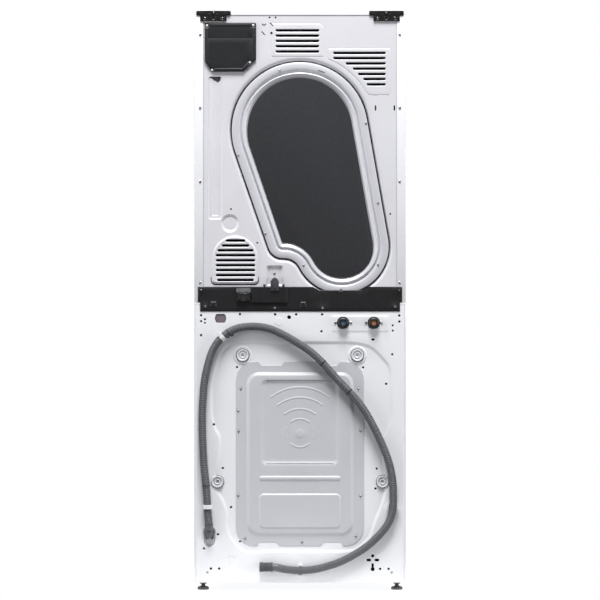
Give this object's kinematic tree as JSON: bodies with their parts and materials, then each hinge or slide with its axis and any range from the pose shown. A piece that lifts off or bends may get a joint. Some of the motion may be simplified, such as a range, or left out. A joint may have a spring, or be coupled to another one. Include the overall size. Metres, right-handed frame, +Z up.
{
  "type": "washer dryer stack",
  "caption": "Tall one-piece laundry tower with a washer below a dryer, hinged round doors, a central control panel, a detergent drawer and a drain hose clipped to its back.",
  "frame": {"origin": "on the floor under the middle of the body and its doors", "axes": "+Z up, the doors face -Y and the service side faces +Y, +X to the right seen from the front"},
  "size_m": [0.6, 0.6568, 1.653],
  "materials": {
    "white_enamel": "gloss",
    "rear_cover_steel": "satin",
    "duct_steel": "satin",
    "insulation": "matt",
    "zinc_steel": "satin",
    "black_steel": "satin",
    "black_plastic": "matt",
    "hose_plastic": "matt",
    "cuff_rubber": "matt",
    "white_plastic": "satin",
    "tub_plastic": "matt",
    "blue_plastic": "satin",
    "orange_plastic": "satin",
    "stainless": "brushed",
    "silver_trim": "metallic paint",
    "smoked_glass": "polished",
    "gasket_rubber": "matt",
    "concrete": "rough cast",
    "copper_winding": "enamelled wire"
  },
  "bodies": {
    "tower": {"washer_cabinet": "white_enamel", "washer_base": "zinc_steel", "washer_front_panel": "white_enamel", "washer_rear_cover": "rear_cover_steel", "cold_inlet_valve": "blue_plastic", "hot_inlet_valve": "orange_plastic", "drain_outlet": "black_plastic", "drain_hose": "hose_plastic", "drain_hose_cuff": "cuff_rubber", "hose_clip_left": "white_plastic", "hose_clip_right": "white_plastic", "hose_clip_bottom": "white_plastic", "washer_tub": "tub_plastic", "door_gasket": "gasket_rubber", "tub_counterweight": "concrete", "motor_stator": "copper_winding", "drain_pump": "black_plastic", "drawer_housing": "white_plastic", "control_panel": "black_plastic", "display_window": "smoked_glass", "dryer_side_left": "white_enamel", "dryer_side_right": "white_enamel", "dryer_top": "white_enamel", "dryer_front_panel": "white_enamel", "dryer_back_panel": "white_enamel", "rear_duct_cover": "duct_steel", "duct_insulation": "insulation", "terminal_cover": "black_plastic", "corner_bracket_left": "black_steel", "corner_bracket_right": "black_steel", "joining_plate": "black_steel", "cord_clamp": "black_steel", "harness_plug": "black_plastic", "dryer_base": "zinc_steel", "dryer_bearing_plate": "zinc_steel", "dryer_front_bulkhead": "tub_plastic", "dryer_motor": "zinc_steel", "compressor": "black_steel", "washer_door_hinge": "zinc_steel", "dryer_door_hinge": "zinc_steel"},
    "washer_door": {"washer_door": "silver_trim", "washer_door_glass": "smoked_glass"},
    "dryer_door": {"dryer_door": "silver_trim", "dryer_door_glass": "smoked_glass"},
    "detergent_drawer": {"detergent_drawer": "white_plastic"},
    "washer_drum": {"washer_drum": "stainless", "motor_rotor": "zinc_steel"},
    "dryer_drum": {"dryer_drum": "stainless"},
    "motor_pulley": {"motor_pulley": "stainless"},
    "washer_knob": {"washer_knob": "stainless"},
    "dryer_knob": {"dryer_knob": "stainless"},
    "washer_start_button": {"washer_start_button": "stainless"},
    "dryer_start_button": {"dryer_start_button": "stainless"},
    "pump_cover": {"pump_cover": "white_enamel"},
    "pump_filter": {"pump_filter": "gasket_rubber"},
    "lint_filter": {"lint_filter": "gasket_rubber"},
    "foot_front_left": {"foot_front_left": "zinc_steel"},
    "foot_front_right": {"foot_front_right": "zinc_steel"},
    "foot_rear_left": {"foot_rear_left": "zinc_steel"},
    "foot_rear_right": {"foot_rear_right": "zinc_steel"}
  },
  "joints": [
    {"name": "washer_door_hinge_turn", "type": "hinge", "parent": "tower", "child": "washer_door", "pos_m": [-0.226, -0.308, 0.446], "axis": [0, 0, -1], "range_deg": [0, 130]},
    {"name": "dryer_door_hinge_turn", "type": "hinge", "parent": "tower", "child": "dryer_door", "pos_m": [-0.244, -0.308, 1.309], "axis": [0, 0, -1], "range_deg": [0, 130]},
    {"name": "drawer_slide", "type": "slide", "parent": "tower", "child": "detergent_drawer", "axis": [0, -1, 0], "range_m": [0, 0.19]},
    {"name": "washer_drum_spin", "type": "hinge", "parent": "tower", "child": "washer_drum", "pos_m": [0, 0.2, 0.446], "axis": [0, 1, 0], "continuous": true},
    {"name": "dryer_drum_spin", "type": "hinge", "parent": "tower", "child": "dryer_drum", "pos_m": [0, 0.2, 1.309], "axis": [0, 1, 0], "continuous": true},
    {"name": "pulley_spin", "type": "hinge", "parent": "tower", "child": "motor_pulley", "pos_m": [0.15, 0, 0.985], "axis": [0, 1, 0], "continuous": true},
    {"name": "washer_knob_turn", "type": "hinge", "parent": "tower", "child": "washer_knob", "pos_m": [-0.165, -0.3, 0.875], "axis": [0, 1, 0], "continuous": true},
    {"name": "dryer_knob_turn", "type": "hinge", "parent": "tower", "child": "dryer_knob", "pos_m": [0.165, -0.3, 0.875], "axis": [0, 1, 0], "continuous": true},
    {"name": "washer_start_press", "type": "slide", "parent": "tower", "child": "washer_start_button", "axis": [0, 1, 0], "range_m": [0, 0.002], "stiffness_N_per_m": 400, "springref_m": -0.001},
    {"name": "dryer_start_press", "type": "slide", "parent": "tower", "child": "dryer_start_button", "axis": [0, 1, 0], "range_m": [0, 0.002], "stiffness_N_per_m": 400, "springref_m": -0.001},
    {"name": "pump_cover_hinge", "type": "hinge", "parent": "tower", "child": "pump_cover", "pos_m": [-0.21, -0.2855, 0.047], "axis": [1, 0, 0], "range_deg": [0, 90]},
    {"name": "pump_filter_turn", "type": "hinge", "parent": "tower", "child": "pump_filter", "pos_m": [-0.21, -0.25, 0.092], "axis": [0, -1, 0], "range_deg": [0, 270]},
    {"name": "lint_filter_slide", "type": "slide", "parent": "tower", "child": "lint_filter", "axis": [0, 0, 1], "range_m": [0, 0.15]},
    {"name": "foot_front_left_screw", "type": "slide", "parent": "tower", "child": "foot_front_left", "axis": [0, 0, -1], "range_m": [0, 0.015]},
    {"name": "foot_front_right_screw", "type": "slide", "parent": "tower", "child": "foot_front_right", "axis": [0, 0, -1], "range_m": [0, 0.015]},
    {"name": "foot_rear_left_screw", "type": "slide", "parent": "tower", "child": "foot_rear_left", "axis": [0, 0, -1], "range_m": [0, 0.015]},
    {"name": "foot_rear_right_screw", "type": "slide", "parent": "tower", "child": "foot_rear_right", "axis": [0, 0, -1], "range_m": [0, 0.015]}
  ],
  "couplings": [
    {"joint": "pulley_spin", "follows": "dryer_drum_spin", "ratio": 11.112}
  ]
}
